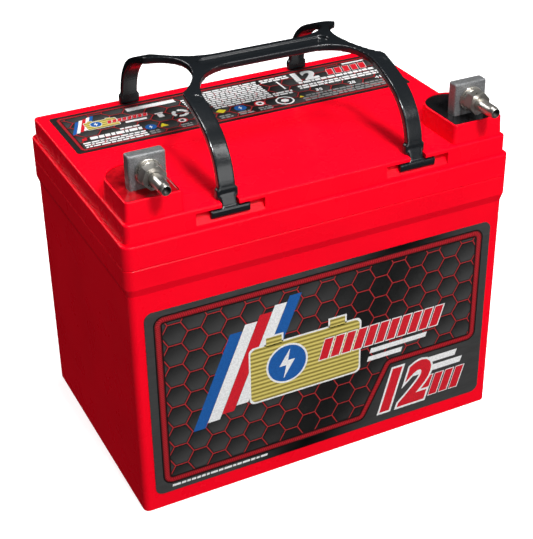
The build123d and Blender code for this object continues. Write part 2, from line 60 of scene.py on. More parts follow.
def add_node(tree, kind, inputs=None, **settings):
    """Makes a shader node. Each input is given a value or linked to a socket."""
    node = tree.nodes.new(kind)
    for key, value in settings.items():
        setattr(node, key, value)
    for key, value in (inputs or {}).items():
        if isinstance(value, bpy.types.NodeSocket):
            tree.links.new(value, node.inputs[key])
        else:
            node.inputs[key].default_value = value
    return node


def maths(tree, operation, first, second=0.0):
    node = add_node(tree, "ShaderNodeMath", {0: first, 1: second}, operation=operation)
    return node.outputs[0]


def vector_maths(tree, operation, first, second=(0, 0, 0), output="Vector"):
    node = add_node(tree, "ShaderNodeVectorMath", {0: first, 1: second}, operation=operation)
    return node.outputs[output]


def remap(tree, value, low, high, to_low=0.0, to_high=1.0):
    """Value from low..high to to_low..to_high, held at both ends, with soft corners."""
    inputs = {"Value": value, "From Min": low, "From Max": high, "To Min": to_low, "To Max": to_high}
    node = add_node(tree, "ShaderNodeMapRange", inputs, interpolation_type="SMOOTHSTEP")
    return node.outputs["Result"]


def mix(tree, factor, first, second, blend="MIX"):
    inputs = {MIX_FACTOR: factor, MIX_FIRST: first, MIX_SECOND: second}
    node = add_node(tree, "ShaderNodeMix", inputs, data_type="RGBA", blend_type=blend)
    return node.outputs[MIX_RESULT]


def place(tree):
    """Position on the object, in metres, which stays with it in every pose."""
    return add_node(tree, "ShaderNodeTexCoord").outputs["Object"]


def noise_at(tree, where, scale, detail, rough=0.5, stretch=None):
    if stretch:
        where = add_node(tree, "ShaderNodeMapping", {"Vector": where, "Scale": stretch}).outputs[0]
    inputs = {"Vector": where, "Scale": scale, "Detail": detail, "Roughness": rough}
    return add_node(tree, "ShaderNodeTexNoise", inputs).outputs["Fac"]


def bump(tree, height, distance, normal=None):
    inputs = {"Height": height, "Distance": distance}
    if normal:
        inputs["Normal"] = normal
    return add_node(tree, "ShaderNodeBump", inputs).outputs["Normal"]


def grey(value):
    return (value, value, value, 1.0)


def dimmed(color, share):
    """The colour with this share of its light."""
    return tuple(share * c for c in color[:3]) + (1.0,)


def start_material(name, **settings):
    """A material with a Principled shader, whose constants are set on its own sockets."""
    material = bpy.data.materials.new(name)
    material.use_nodes = True
    tree = material.node_tree
    shader = tree.nodes["Principled BSDF"]
    for key, value in settings.items():
        shader.inputs[key.replace("_", " ")].default_value = value
    return material, tree, shader


def drive(tree, shader, color, roughness=None, normal=None):
    """Links the sockets that vary over the surface."""
    for key, value in (("Base Color", color), ("Roughness", roughness), ("Normal", normal)):
        if value is not None:
            tree.links.new(value, shader.inputs[key])


# ---------------------------------------------------------------- materials
def moulded_plastic(name, color, rough, specular):
    """Glossy moulded plastic: slight mottling, orange peel, faint rubbing marks."""
    material, tree, shader = start_material(name, Specular_IOR_Level=specular)
    where = place(tree)
    mottle = noise_at(tree, where, 22.0, 2.0)
    shade = mix(tree, remap(tree, mottle, 0.3, 0.7), dimmed(color, 0.93), color)
    peel = noise_at(tree, where, 900.0, 2.0)
    rub = noise_at(tree, where, 60.0, 3.0)
    gloss = remap(tree, rub, 0.35, 0.75, rough, rough + 0.05)
    ripple = noise_at(tree, where, 45.0, 1.0)
    normal = bump(tree, peel, 0.02 * MM, bump(tree, ripple, 0.05 * MM))
    drive(tree, shader, shade, gloss, normal)
    return material


def cast_lead():
    """Dull grey casting with pits, lighter on its sharp edges."""
    material, tree, shader = start_material("cast_lead", Metallic=0.4)
    where = place(tree)
    coarse = noise_at(tree, where, 350.0, 4.0, 0.6)
    fine = noise_at(tree, where, 1600.0, 3.0, 0.6)
    stain = noise_at(tree, where, 120.0, 3.0)
    pits, skin = (0.115, 0.12, 0.125, 1.0), (0.24, 0.245, 0.25, 1.0)
    base = mix(tree, remap(tree, fine, 0.3, 0.7), pits, skin)
    base = mix(tree, remap(tree, coarse, 0.45, 0.75, 0.0, 0.5), base, grey(0.30))
    edges = add_node(tree, "ShaderNodeNewGeometry").outputs["Pointiness"]
    base = mix(tree, remap(tree, edges, 0.52, 0.62), base, grey(0.60))
    base = mix(tree, remap(tree, stain, 0.55, 0.7), base, (0.15, 0.15, 0.14, 1.0))
    gloss = remap(tree, fine, 0.3, 0.7, 0.34, 0.55)
    normal = bump(tree, fine, 0.08 * MM, bump(tree, coarse, 0.25 * MM))
    drive(tree, shader, base, gloss, normal)
    return material


def turned_steel(name, rough, painted_shade_share=1.0):
    """Stainless steel: warm grey, fine turning marks round the bolt's axis, dull patches.
    Its last argument is the share of its light that the metal keeps where it is darkened all over as painted
    shade."""
    material, tree, shader = start_material(name, Metallic=0.93, Specular_IOR_Level=0.6)
    where = place(tree)
    marks = noise_at(tree, where, 1500.0, 1.0, 0.5, stretch=(0.06, 1.0, 0.06))
    haze = noise_at(tree, where, 260.0, 3.0)
    base = mix(tree, haze, dimmed((0.50, 0.48, 0.44), painted_shade_share), dimmed((0.74, 0.71, 0.66), painted_shade_share))
    gloss = remap(tree, haze, 0.3, 0.7, rough, rough + 0.12)
    drive(tree, shader, base, gloss, bump(tree, marks, 0.006 * MM))
    return material


def poured_epoxy(name, color):
    """Potting resin: very glossy, gently uneven where it crept up the walls."""
    material, tree, shader = start_material(name, Specular_IOR_Level=0.35)
    where = place(tree)
    waves = noise_at(tree, where, 230.0, 2.0)
    specks = noise_at(tree, where, 1500.0, 2.0)
    shade = mix(tree, remap(tree, waves, 0.3, 0.75), dimmed(color, 0.55), color)
    gloss = remap(tree, specks, 0.4, 0.8, 0.10, 0.30)
    normal = bump(tree, specks, 0.02 * MM, bump(tree, waves, 0.10 * MM))
    drive(tree, shader, shade, gloss, normal)
    return material


def soft_rubber():
    """Black rubber with a little dust on it."""
    material, tree, shader = start_material("black_rubber", Specular_IOR_Level=0.3)
    where = place(tree)
    dust = noise_at(tree, where, 500.0, 4.0)
    base = mix(tree, remap(tree, dust, 0.4, 0.8), grey(0.018), grey(0.05))
    drive(tree, shader, base, remap(tree, dust, 0.3, 0.7, 0.55, 0.8), bump(tree, dust, 0.05 * MM))
    return material


def pasted_plate(name, color, grid_color):
    """Battery plate: crumbly paste with the lead grid showing through it. The grid's bars stand
    7 mm apart across the plate and 9 mm apart up it."""
    material, tree, shader = start_material(name, Specular_IOR_Level=0.25)
    where = place(tree)
    crumbs = noise_at(tree, where, 900.0, 4.0, 0.65)
    parts = add_node(tree, "ShaderNodeSeparateXYZ", {0: where})
    bars_y = maths(tree, "PINGPONG", parts.outputs["Y"], 3.5 * MM)
    bars_z = maths(tree, "PINGPONG", parts.outputs["Z"], 4.5 * MM)
    nearest = maths(tree, "MINIMUM", bars_y, bars_z)
    grid = remap(tree, nearest, 0.3 * MM, 0.6 * MM, 1.0, 0.0)
    paste = mix(tree, crumbs, dimmed(color, 0.6), color)
    base = mix(tree, maths(tree, "MULTIPLY", grid, 0.6), paste, grid_color)
    normal = bump(tree, grid, 0.2 * MM, bump(tree, crumbs, 0.15 * MM))
    drive(tree, shader, base, remap(tree, crumbs, 0.3, 0.7, 0.6, 0.85), normal)
    return material


def glass_mat():
    """Soft white mat of pressed glass fibres."""
    material, tree, shader = start_material("glass_mat", Specular_IOR_Level=0.2, Sheen_Weight=0.2)
    where = place(tree)
    fibres = noise_at(tree, where, 1100.0, 5.0, 0.7, stretch=(1.0, 0.25, 1.0))
    base = mix(tree, remap(tree, fibres, 0.3, 0.7), grey(0.62), grey(0.88))
    drive(tree, shader, base, remap(tree, fibres, 0.3, 0.7, 0.8, 0.95), bump(tree, fibres, 0.12 * MM))
    return material


def ink(name, color):
    """Printed ink under the label's film."""
    material, tree, shader = start_material(name, Specular_IOR_Level=0.3)
    where = place(tree)
    screen = noise_at(tree, where, 1400.0, 2.0)
    base = mix(tree, remap(tree, screen, 0.3, 0.7), dimmed(color, 0.8), color)
    drive(tree, shader, base, remap(tree, screen, 0.3, 0.7, 0.38, 0.48), bump(tree, screen, 0.01 * MM))
    return material


def honeycomb(tree, across, up, centre, pitch):
    """Distance from each hexagon's edge, as a part of pitch, and the place inside the hexagon.
    Hexagons have flat tops. pitch is (column pitch / sin 60, row pitch)."""
    across = maths(tree, "DIVIDE", maths(tree, "SUBTRACT", across, centre[0]), pitch[0])
    up = maths(tree, "DIVIDE", maths(tree, "SUBTRACT", up, centre[1]), pitch[1])
    spot = add_node(tree, "ShaderNodeCombineXYZ", {0: across, 1: up}).outputs[0]
    half = (sqrt(3) / 2, 0.5, 1.0)
    low = tuple(-h for h in half)

    def wrapped(where):
        inputs = {0: where, 1: half, 2: low}
        return add_node(tree, "ShaderNodeVectorMath", inputs, operation="WRAP").outputs[0]

    first = wrapped(spot)
    second = wrapped(vector_maths(tree, "SUBTRACT", spot, (half[0], half[1], 0.0)))
    first_far = vector_maths(tree, "LENGTH", first, output="Value")
    second_far = vector_maths(tree, "LENGTH", second, output="Value")
    pick = maths(tree, "GREATER_THAN", first_far, second_far)
    inside = mix(tree, pick, first, second)
    size = vector_maths(tree, "ABSOLUTE", inside)
    flat = add_node(tree, "ShaderNodeSeparateXYZ", {0: size}).outputs["Y"]
    slant = vector_maths(tree, "DOT_PRODUCT", size, (sqrt(3) / 2, 0.5, 0.0), output="Value")
    edge = maths(tree, "SUBTRACT", 0.5, maths(tree, "MAXIMUM", flat, slant))
    return edge, add_node(tree, "ShaderNodeSeparateXYZ", {0: inside}).outputs


def from_streak(tree, across, up, streak):
    """How far a spot is from the middle of the dark streak that crosses a label, which is given as
    (across at its foot, slope, half width, height of its foot)."""
    foot, slope, _, base = streak
    rise = maths(tree, "MULTIPLY", maths(tree, "SUBTRACT", up, base), slope)
    return maths(tree, "ABSOLUTE", maths(tree, "SUBTRACT", across, maths(tree, "ADD", rise, foot)))


def label_film(name, up_axis, centre, pitch, line, streak):
    """Printed honeycomb with one dark streak. line is the width of its lines, as a part of pitch."""
    material, tree, shader = start_material(name, Specular_IOR_Level=0.35)
    where = place(tree)
    parts = add_node(tree, "ShaderNodeSeparateXYZ", {0: where}).outputs
    across, up = parts["X"], parts[up_axis]
    edge, inside = honeycomb(tree, across, up, centre, pitch)
    fade = maths(tree, "SUBTRACT", maths(tree, "MULTIPLY", inside["X"], 0.4), inside["Y"])
    cell = mix(tree, remap(tree, fade, -0.6, 0.6), grey(0.009), grey(0.05))
    shadow = remap(tree, edge, line, line + 0.09, 0.25, 1.0)
    cell = mix(tree, 1.0, cell, shadow, "MULTIPLY")
    light = remap(tree, from_streak(tree, across, up, streak), 0.0, streak[2], 0.06, 1.0)
    cell = mix(tree, 1.0, cell, light, "MULTIPLY")
    outline = remap(tree, edge, line * 0.7, line, 1.0, 0.0)
    base = mix(tree, outline, cell, (0.42, 0.012, 0.016, 1.0))
    weave = noise_at(tree, where, 1500.0, 2.0)
    base = mix(tree, maths(tree, "MULTIPLY", weave, 0.25), base, grey(0.06))
    drive(tree, shader, base, remap(tree, weave, 0.3, 0.7, 0.34, 0.48), bump(tree, weave, 0.01 * MM))
    return material


def gunmetal_film(name, up_axis, streak, dark, bright):
    """Plain border of the label: brushed gunmetal, from dark to bright, with one dark streak."""
    material, tree, shader = start_material(name, Specular_IOR_Level=0.35)
    where = place(tree)
    parts = add_node(tree, "ShaderNodeSeparateXYZ", {0: where}).outputs
    light = remap(tree, from_streak(tree, parts["X"], parts[up_axis], streak), 0.0, streak[2])
    brushed = noise_at(tree, where, 900.0, 3.0, 0.5, stretch=(0.15, 1.0, 1.0))
    base = mix(tree, light, grey(0.002), mix(tree, brushed, grey(dark), grey(bright)))
    drive(tree, shader, base, remap(tree, brushed, 0.3, 0.7, 0.34, 0.46), bump(tree, brushed, 0.01 * MM))
    return material


def rope_band():
    """Ribbed red cord printed round the honeycomb. The ribs follow the band's own length."""
    color = (0.42, 0.008, 0.016, 1.0)
    material, tree, shader = start_material("rope", Specular_IOR_Level=0.4)
    run = add_node(tree, "ShaderNodeUVMap", uv_map="run").outputs[0]
    parts = add_node(tree, "ShaderNodeSeparateXYZ", {0: run}).outputs
    lean = maths(tree, "ADD", parts["X"], maths(tree, "MULTIPLY", parts["Y"], 0.4))
    ribs = maths(tree, "MULTIPLY", maths(tree, "PINGPONG", lean, 0.5), 2.0)
    from_middle = maths(tree, "ABSOLUTE", parts["Y"])
    base = mix(tree, remap(tree, ribs, 0.0, 0.7), dimmed(color, 0.5), color)
    base = mix(tree, remap(tree, from_middle, 0.35, 1.0), base, dimmed(color, 0.25))
    drive(tree, shader, base, remap(tree, ribs, 0.0, 1.0, 0.5, 0.35), bump(tree, ribs, 0.08 * MM))
    return material


def gold_ribs():
    """Gold ink shaded as corrugated metal. The ribs lie along X on both labels."""
    half_pitch = 1.1 * MM
    material, tree, shader = start_material("ink_gold", Specular_IOR_Level=0.4)
    where = place(tree)
    parts = add_node(tree, "ShaderNodeSeparateXYZ", {0: where}).outputs
    up = maths(tree, "ADD", parts["Z"], parts["Y"])
    ribs = maths(tree, "DIVIDE", maths(tree, "PINGPONG", up, half_pitch), half_pitch)
    base = mix(tree, ribs, (0.16, 0.12, 0.015, 1.0), (0.72, 0.60, 0.16, 1.0))
    drive(tree, shader, base, remap(tree, ribs, 0.0, 1.0, 0.4, 0.3), bump(tree, ribs, 0.05 * MM))
    return material


# ---------------------------------------------------------------- mesh helpers
CORNER_POINTS = 7


def make_object(name, vertices, faces, materials, smooth=False, body="battery"):
    """A mesh object that rides on a body. materials is a list, the first of which is the default."""
    mesh = bpy.data.meshes.new(name)
    mesh.from_pydata(vertices, [], faces)
    mesh.update()
    obj = bpy.data.objects.new(name, mesh)
    bpy.context.scene.collection.objects.link(obj)
    for material in materials:
        mesh.materials.append(material)
    if smooth:
        mesh.polygons.foreach_set("use_smooth", [True] * len(mesh.polygons))
    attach(obj, body)
    return obj


def rounded_path(corners, radius):
    """Closed outline round the corners, each of them an arc of CORNER_POINTS points."""
    path = []
    for i, corner in enumerate(corners):
        here = Vector(corner)
        back = (Vector(corners[i - 1]) - here).normalized()
        ahead = (Vector(corners[(i + 1) % len(corners)]) - here).normalized()
        half = back.angle(ahead) / 2
        reach = radius / tan(half)
        centre = here + (back + ahead).normalized() * (radius / sin(half))
        start = here + back * reach - centre
        sweep = start.angle_signed(here + ahead * reach - centre)
        for k in range(CORNER_POINTS):
            turn = Matrix.Rotation(-sweep * k / (CORNER_POINTS - 1), 2)
            path.append(tuple(centre + turn @ start))
    return path


class Sheet:
    """Lays flat artwork on a label. Its points are (across, up) in metres on the label's face."""

    LAYER = 0.012 * MM        # from one lift to the next
    WORD_GAP = 0.55 * MM
    WORD_SHORTEST = 1.2 * MM
    WORD_SPREAD = 3.4 * MM
    WORD_LEAST_ROOM = 0.8 * MM

    def __init__(self, name, to_frame):
        self.name = name
        self.to_frame = to_frame
        self.layers = {}

    def add(self, material, outline, lift=1):
        """One filled outline. A higher lift lies over a lower one."""
        vertices, faces = self.layers.setdefault(material.name, ([], []))
        first = len(vertices)
        vertices.extend(self.to_frame(a, u, lift * self.LAYER) for a, u in outline)
        faces.append(list(range(first, first + len(outline))))

    def bar(self, material, left, low, right, high, lift=1, slant=0.0):
        """A bar that leans to the right by slant times its height."""
        lean = (high - low) * slant
        self.add(material, [(left, low), (right, low), (right + lean, high), (left + lean, high)], lift)

    def disc(self, material, across, up, radius, lift=1, sides=40):
        angles = [2 * pi * k / sides for k in range(sides)]
        self.add(material, [(across + radius * cos(t), up + radius * sin(t)) for t in angles], lift)

    def ring(self, material, across, up, radius, width, lift=1, start=0.0, sweep=2 * pi, sides=40):
        """A flat ring, or part of one."""
        for k in range(sides):
            a = start + sweep * k / sides
            b = start + sweep * (k + 1) / sides
            corners = [(radius, a), (radius, b), (radius - width, b), (radius - width, a)]
            self.add(material, [(across + r * cos(t), up + r * sin(t)) for r, t in corners], lift)

    def glyphs(self, text, weight, lean):
        """Corners and faces of flat numerals, one unit to the font's em."""
        curve = bpy.data.curves.new(self.name, "FONT")
        curve.body = text
        curve.offset = weight
        curve.shear = lean
        curve.resolution_u = 4
        holder = bpy.data.objects.new(self.name, curve)
        bpy.context.scene.collection.objects.link(holder)
        bpy.context.view_layer.update()
        mesh = bpy.data.meshes.new_from_object(holder.evaluated_get(bpy.context.evaluated_depsgraph_get()))
        bpy.data.objects.remove(holder)
        corners = [(v.co.x, v.co.y) for v in mesh.vertices]
        faces = [list(p.vertices) for p in mesh.polygons]
        bpy.data.meshes.remove(mesh)
        return corners, faces

    def digits(self, material, text, left, low, height, lift=1, lean=0.0, weight=0.0, stretch=1.0):
        """Numerals, set from their lower left corner. weight makes their strokes bolder all round."""
        plain, _ = self.glyphs(text, 0.0, lean)
        least_x = min(x for x, _ in plain)
        least_y = min(y for _, y in plain)
        scale = height / (max(y for _, y in plain) - least_y)
        corners, shapes = self.glyphs(text, weight, lean)
        vertices, faces = self.layers.setdefault(material.name, ([], []))
        first = len(vertices)
        for x, y in corners:
            spot = (left + (x - least_x) * scale * stretch, low + (y - least_y) * scale)
            vertices.append(self.to_frame(*spot, lift * self.LAYER))
        faces.extend([[first + k for k in shape] for shape in shapes])

    def words(self, material, left, low, right, high, rows, seed, fill=0.62):
        """Rows of short bars that stand for small print. fill is a bar's share of its row."""
        pitch = (high - low) / rows
        for row in range(rows):
            bottom = low + row * pitch
            across = left
            count = 0
            while across < right - self.WORD_LEAST_ROOM:
                chance = abs(noise.cell(Vector((seed * 7.3 + row * 1.7, count * 1.3, seed))))
                end = min(across + self.WORD_SHORTEST + self.WORD_SPREAD * chance, right)
                self.bar(material, across, bottom, end, bottom + pitch * fill, 2, slant=0.15)
                across = end + self.WORD_GAP
                count += 1

    def finish(self, materials):
        """One object per ink."""
        for material in materials:
            if material.name in self.layers:
                vertices, faces = self.layers[material.name]
                make_object(f"{self.name}_{material.name}", vertices, faces, [material])


def front_place(across, up, lift):
    """Front label: across is +X, up is +Z, lift stands out to the front."""
    return (across, front_face_y - lift, up)


def top_place(across, up, lift):
    """Top label: across is +X, up the label is +Y, lift stands above it."""
    return (across, up, top_face_z + lift)


RIB_PITCH = 1.0 * MM


def ribbon(name, path, width, heights, to_frame, material):
    """A closed band along a path. heights are its cross-section, spaced evenly over the width. Its
    UV map counts ribs along the band, and runs from -1 to 1 across it."""
    points = [Vector(p) for p in path]
    count = len(points)
    columns = len(heights)
    vertices, run, total = [], [], 0.0
    for i in range(count + 1):
        here = points[i % count]
        before = (here - points[(i - 1) % count]).normalized()
        after = (points[(i + 1) % count] - here).normalized()
        way = (before + after).normalized()
        side = Vector((-way.y, way.x)) / way.dot(after)
        for k, height in enumerate(heights):
            spot = here + side * width * (k / (columns - 1) - 0.5)
            vertices.append(to_frame(spot.x, spot.y, height))
            run.append((total / RIB_PITCH, 2 * k / (columns - 1) - 1))
        total += (points[(i + 1) % count] - here).length
    faces = []
    for i in range(count):
        for k in range(columns - 1):
            a = i * columns + k
            faces.append([a, a + 1, a + columns + 1, a + columns])
    obj = make_object(name, vertices, faces, [material], smooth=True)
    layer = obj.data.uv_layers.new(name="run")
    for loop in obj.data.loops:
        layer.data[loop.index].uv = run[loop.vertex_index]


def paint(material, *names):
    """Gives CAD nodes a finished material in place of their plain one."""
    for name in names:
        for slot in nodes[name].material_slots:
            slot.material = material


# ---------------------------------------------------------------- finishes of the CAD nodes
red_body = moulded_plastic("red_body", (0.92, 0.001, 0.014, 1.0), 0.27, 0.10)
red_lid = moulded_plastic("red_lid", (0.96, 0.001, 0.015, 1.0), 0.25, 0.10)
black_handle = moulded_plastic("black_handle", (0.010, 0.012, 0.014, 1.0), 0.17, 0.6)
lead = cast_lead()
steel = turned_steel("turned_steel", 0.26)
washer_steel = turned_steel("washer_steel", 0.22)
# Steel kept at a tenth of its light: painted shade inside the studs' hollow ends.
hollow_steel_painted_shade = turned_steel("hollow_steel_painted_shade", 0.5, painted_shade_share=0.10)
rubber = soft_rubber()

paint(red_body, "container")
paint(red_lid, "lid", "valve_cover")
for polarity in POLARITIES:
    paint(steel, f"{polarity}_nut")
    paint(washer_steel, f"{polarity}_flat_washer", f"{polarity}_lock_washer")
    paint(rubber, f"{polarity}_post_seal")
positive_paste = pasted_plate("positive_paste", (0.10, 0.055, 0.03, 1.0), grey(0.16))
negative_paste = pasted_plate("negative_paste", (0.20, 0.21, 0.22, 1.0), grey(0.3))
white_mat = glass_mat()
for number in range(1, CELLS + 1):
    paint(positive_paste, f"positive_group_{number}")
    paint(negative_paste, f"negative_group_{number}")
    paint(white_mat, f"separators_{number}")
    paint(rubber, f"vent_valve_{number}")
for number in range(1, CELLS):
    paint(lead, f"cell_weld_{number}")


# ---------------------------------------------------------------- pieces that stand for CAD nodes
def rounded_copy(node, name, voxel, passes, body):
    """The node's mesh, remeshed finely and smoothed, so that its edges are round as moulded."""
    mesh = nodes[node].data.copy()
    mesh.name = name
    piece = bpy.data.objects.new(name, mesh)
    bpy.context.scene.collection.objects.link(piece)
    remesh = piece.modifiers.new("remesh", "REMESH")
    remesh.mode = "VOXEL"
    remesh.voxel_size = voxel
    smooth = piece.modifiers.new("smooth", "SMOOTH")
    smooth.factor = 0.5
    smooth.iterations = passes
    bpy.context.view_layer.update()
    made = bpy.data.meshes.new_from_object(piece.evaluated_get(bpy.context.evaluated_depsgraph_get()))
    piece.modifiers.clear()
    piece.data = made
    made.name = name
    made.polygons.foreach_set("use_smooth", [True] * len(made.polygons))
    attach(piece, body)
    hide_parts(node)
    return piece


def only_material(piece, material):
    piece.data.materials.clear()
    piece.data.materials.append(material)
    piece.data.polygons.foreach_set("material_index", [0] * len(piece.data.polygons))


def moulded_handle():
    """Carrying handle, with the sunk marks that the ejector pins left on its shoulders."""
    handle = rounded_copy("handle", "handle_moulding", 0.45 * MM, 5, "handle")
    only_material(handle, black_handle)
    mark_x, mark_y, mark_r, mark_deep = mm(46.6, 28.7, 2.4, 0.25)
    skin = [(v.co.copy(), v.normal.z) for v in handle.data.vertices]
    for v, (spot, up) in zip(handle.data.vertices, skin):
        away = sqrt((abs(spot.x) - mark_x) ** 2 + (abs(spot.y) - mark_y) ** 2)
        if away < mark_r and up > 0.5:
            v.co.z = spot.z - mark_deep


FLAG_LUMPS = 0.07                 # depth, in mm


def cast_flag(polarity):
    """Lead flag with the uneven skin and worn edges of a casting."""
    flag = rounded_copy(f"{polarity}_terminal", f"{polarity}_flag", 0.4 * MM, 3, "battery")
    only_material(flag, lead)
    skin = [(v.co.copy(), v.normal.copy()) for v in flag.data.vertices]
    for v, (spot, out) in zip(flag.data.vertices, skin):
        lump = noise.noise(spot * 170.0) + 0.5 * noise.noise(spot * 520.0)
        v.co = spot - out * (0.5 + 0.5 * lump) * FLAG_LUMPS * MM


# Bolt sizes, in mm.
HEX_FLATS_R = 5.0
HEX_TURN = radians(12.0)
HEAD_HEIGHT = 4.0
HEAD_EDGE = ((0.0, 0.45), (0.12, 0.30), (0.25, 0.16), (0.45, 0.0))    # (from the back, inset)
UNDER_HEAD_R = 2.95
UNDERCUT = 0.3
THREAD_R = 3.0
THREAD_DEPTH = 0.34
THREAD_PITCH = 1.0
THREAD_RINGS = 10                                                     # to one turn
# (behind the nut's front face, radius) of the groove and the nose, then (from the tip, radius)
NOSE = ((0.05, 2.70), (-0.55, 2.70), (-0.75, 2.92), (-1.2, 2.97), (-10.0, 2.80), (-10.6, 2.72), (-11.1, 2.45))
HOLLOW_END = ((0.25, 2.30), (0.05, 2.15), (0.0, 1.95), (0.1, 1.80), (1.6, 1.65), (1.9, 0.5))
HOLLOW_RINGS = 3                                                      # of HOLLOW_END, inside it
BOLT_SEGMENTS = 48


def turned_bolt(name, rings, node):
    """Closed shape round a bolt's own axis along Y. rings holds (y, radius by angle). The inside of
    its hollow end is painted dark, as painted shade in the recess."""
    segments = BOLT_SEGMENTS
    low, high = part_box(node)
    axis_x, axis_z = (low.x + high.x) / 2, (low.z + high.z) / 2
    vertices, faces = [], []
    for y, radius in rings:
        for k in range(segments):
            angle = 2 * pi * k / segments
            r = radius(angle)
            vertices.append((axis_x + r * cos(angle), y, axis_z + r * sin(angle)))
    for i in range(len(rings) - 1):
        for k in range(segments):
            a, b = i * segments + k, i * segments + (k + 1) % segments
            faces.append([a, b, b + segments, a + segments])
    faces.append(list(range(segments))[::-1])
    faces.append(list(range((len(rings) - 1) * segments, len(rings) * segments)))
    piece = make_object(name, vertices, faces, [steel, hollow_steel_painted_shade], smooth=True)
    # Faces inside the hollow end get the darkened steel, as painted shade.
    first = (len(rings) - 1 - HOLLOW_RINGS) * segments
    back_of_head = len(faces) - 2
    for polygon in piece.data.polygons:
        if polygon.index >= first and polygon.index != back_of_head:
            polygon.material_index = 1
    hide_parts(node)


def bolt_rings(low_y, high_y, nut_front):
    """Hexagon head at the back, rolled thread, relief groove, plain nose with a hollow end."""
    flats, head, pitch, outer, depth = mm(HEX_FLATS_R, HEAD_HEIGHT, THREAD_PITCH, THREAD_R, THREAD_DEPTH)
    corner = flats / cos(pi / 6)

    def hexagon(limit):
        def radius(angle):
            turned = (angle + HEX_TURN) % (pi / 3) - pi / 6
            return min(flats / cos(turned), limit)
        return radius

    def plain(r):
        return lambda angle: r * MM

    rings = [(high_y - back * MM, hexagon(corner - inset * MM)) for back, inset in HEAD_EDGE]
    rings.append((high_y - head, hexagon(corner)))
    rings.append((high_y - head, plain(UNDER_HEAD_R)))
    y = high_y - head - UNDERCUT * MM
    while y > nut_front + pitch / THREAD_RINGS:
        def thread(angle, y=y):
            phase = (y / pitch - angle / (2 * pi)) % 1.0
            return outer - depth * (1.0 - abs(2.0 * phase - 1.0))
        rings.append((y, thread))
        y -= pitch / THREAD_RINGS
    rings.extend((nut_front + behind * MM, plain(r)) for behind, r in NOSE)
    rings.extend((low_y + inwards * MM, plain(r)) for inwards, r in HOLLOW_END)
    return rings


# Potting sizes, in mm. Each climb is (height, how quickly it dies away).
WELL_CORNER = 1.0
FLAG_HALF_THICK = 2.9
SUNK = 0.5
WALL_CLIMB = (0.42, 0.45)
FLAG_CLIMB = (0.5, 0.7)
WAVE = 0.06
WAVES_PER_METRE = 260
OUTLINE_POINTS = 96
ARC_STEPS = 40
FADE_BASE = 2.718


def climb(away, sizes):
    """Height that the resin climbs, this far from what it climbs up."""
    height, fades = mm(*sizes)
    return height * FADE_BASE ** (-max(away, 0.0) / fades)


def resin_outline(low, high):
    """Plan of a terminal block's well: square in front, with rounded corners, and half round behind."""
    half = (high.x - low.x) / 2
    centre_x = (low.x + high.x) / 2
    back_y = high.y - half
    corners = [(centre_x - half, back_y), (centre_x - half, low.y),
               (centre_x + half, low.y), (centre_x + half, back_y)]
    front = rounded_path(corners, WELL_CORNER * MM)[CORNER_POINTS:3 * CORNER_POINTS]
    angles = [pi * k / ARC_STEPS for k in range(ARC_STEPS + 1)]
    back = [(centre_x + half * cos(t), back_y + half * sin(t)) for t in angles]
    middle = Vector((centre_x, (low.y + back_y) / 2 + 0.2 * half))
    return spaced(front + back, OUTLINE_POINTS), middle, half


def poured_resin(polarity, material):
    """Potting round the post: its surface climbs a little up the wall and up the flag."""
    low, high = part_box(f"{polarity}_epoxy")
    flag_low, flag_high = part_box(f"{polarity}_terminal")
    flag_y = (flag_low.y + flag_high.y) / 2
    outline, middle, half = resin_outline(low, high)
    shrink = [1.0, 0.985, 0.965, 0.94] + [0.9 - 0.1 * k for k in range(9)]
    vertices = []
    faces = []
    count = len(outline)
    for share in shrink:
        for a, b in outline:
            spot = middle + (Vector((a, b)) - middle) * share
            off_face = abs(spot.y - flag_y) - FLAG_HALF_THICK * MM
            beside = max(flag_low.x - spot.x, spot.x - flag_high.x, off_face)
            rise = climb((1.0 - share) * half, WALL_CLIMB) + climb(beside, FLAG_CLIMB)
            wave = WAVE * MM * noise.noise(Vector((spot.x * WAVES_PER_METRE, spot.y * WAVES_PER_METRE, 0.0)))
            vertices.append((spot.x, spot.y, min(high.z, high.z - SUNK * MM + rise + wave)))
    for i in range(len(shrink) - 1):
        for k in range(count):
            a, b = i * count + k, i * count + (k + 1) % count
            faces.append([a, b, b + count, a + count])
    last = (len(shrink) - 1) * count
    faces.append(list(range(last, last + count)))
    first = len(vertices)
    vertices.extend((a, b, low.z) for a, b in outline)
    for k in range(count):
        faces.append([(k + 1) % count, k, first + k, first + (k + 1) % count])
    faces.append(list(range(first, first + count))[::-1])
    piece = make_object(f"{polarity}_resin", vertices, faces, [material], smooth=True)
    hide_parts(f"{polarity}_epoxy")


def spaced(outline, count):
    """The closed outline again, as evenly spaced points."""
    points = [Vector(p) for p in outline]
    lengths = [(points[(i + 1) % len(points)] - p).length for i, p in enumerate(points)]
    total = sum(lengths)
    spots, i, passed = [], 0, 0.0
    for k in range(count):
        goal = total * k / count
        while passed + lengths[i] < goal:
            passed += lengths[i]
            i += 1
        share = (goal - passed) / lengths[i] if lengths[i] else 0.0
        spots.append(tuple(points[i].lerp(points[(i + 1) % len(points)], share)))
    return spots


resins = {
    "positive": poured_epoxy("red_epoxy", (0.50, 0.004, 0.010, 1.0)),
    "negative": poured_epoxy("black_epoxy", (0.010, 0.010, 0.011, 1.0)),
}
moulded_handle()
for polarity in POLARITIES:
    cast_flag(polarity)
    bolt_low, bolt_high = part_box(f"{polarity}_bolt")
    nut_low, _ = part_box(f"{polarity}_nut")
    turned_bolt(f"{polarity}_stud", bolt_rings(bolt_low.y, bolt_high.y, nut_low.y), f"{polarity}_bolt")
    poured_resin(polarity, resins[polarity])


# ---------------------------------------------------------------- labels
front_low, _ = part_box("front_label")
_, top_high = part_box("top_label")
front_face_y = front_low.y
top_face_z = top_high.z

